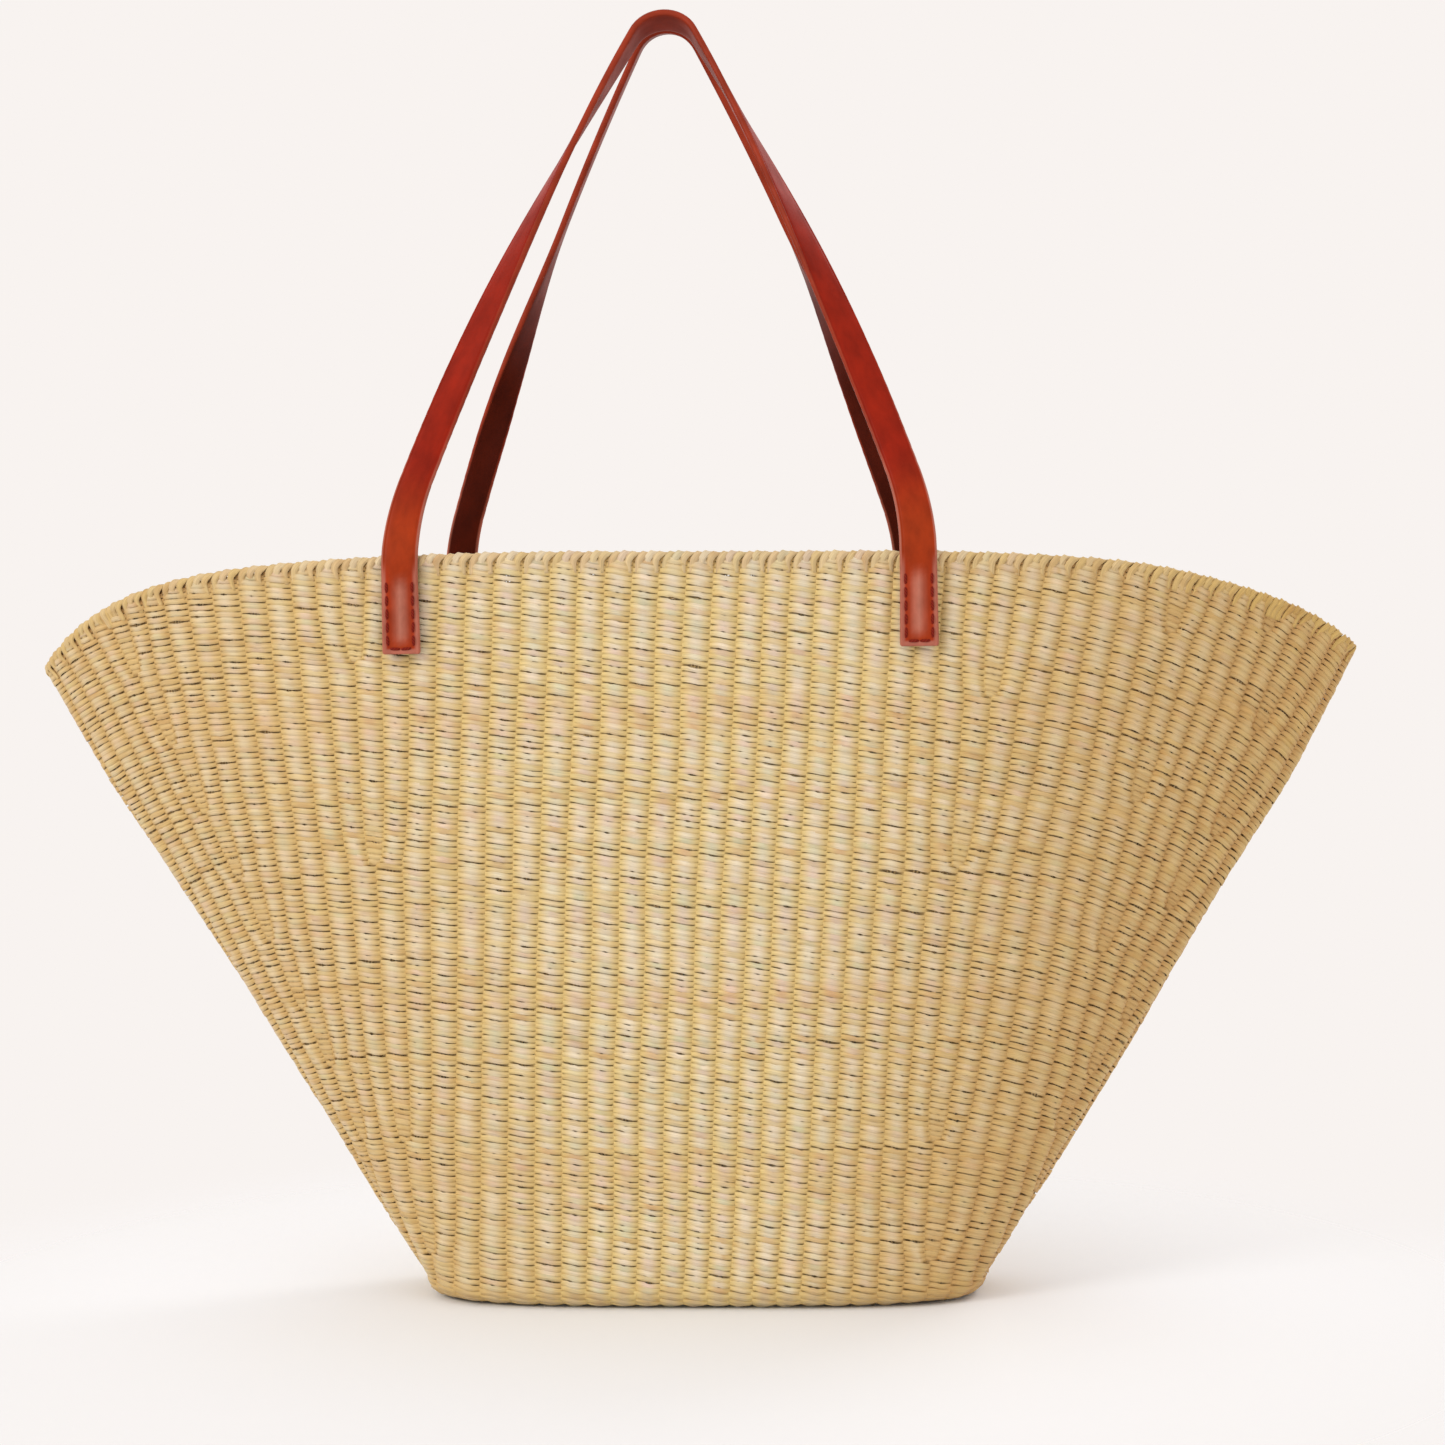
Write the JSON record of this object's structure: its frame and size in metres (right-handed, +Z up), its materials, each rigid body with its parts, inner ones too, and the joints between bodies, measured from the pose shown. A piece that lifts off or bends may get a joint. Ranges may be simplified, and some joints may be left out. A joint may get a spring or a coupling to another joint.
{
  "type": "beach bag",
  "caption": "Large flared open tote of twined straw on an oval base, with a lens-shaped mouth and leather shoulder straps sewn flat to its front and back.",
  "frame": {"origin": "on the ground under the middle of the base", "axes": "+X along the length of the bag to its right end, +Y from the front to the back, +Z up; the front strap is on the -Y side"},
  "size_m": [0.6872, 0.1822, 0.6644],
  "materials": {
    "straw": "undyed twined straw, matt with a faint sheen",
    "straw_border": "rolled and tucked straw ends, matt",
    "strap_leather": "smooth cognac-red leather, satin gloss, creased and burnished edges",
    "patch_leather": "suede side out, matt",
    "thread": "waxed dark red-brown thread"
  },
  "bodies": {
    "bag": {"woven_base": "straw", "base_border": "straw_border", "woven_wall": "straw", "rim_border": "straw_border", "front_left_strap_end": "strap_leather", "front_left_stitching": "thread", "front_left_backing_patch": "patch_leather", "front_right_strap_end": "strap_leather", "front_right_stitching": "thread", "front_right_backing_patch": "patch_leather", "back_left_strap_end": "strap_leather", "back_left_stitching": "thread", "back_left_backing_patch": "patch_leather", "back_right_strap_end": "strap_leather", "back_right_stitching": "thread", "back_right_backing_patch": "patch_leather"},
    "front_handle": {"front_handle_strap": "strap_leather"},
    "back_handle": {"back_handle_strap": "strap_leather"}
  },
  "joints": [
    {"name": "front_handle_fold", "type": "hinge", "parent": "bag", "child": "front_handle", "pos_m": [0, -0.09085, 0.372], "axis": [1, 0, 0], "range_deg": [0, 170]},
    {"name": "back_handle_fold", "type": "hinge", "parent": "bag", "child": "back_handle", "pos_m": [0, 0.09085, 0.372], "axis": [-1, 0, 0], "range_deg": [0, 170]}
  ]
}
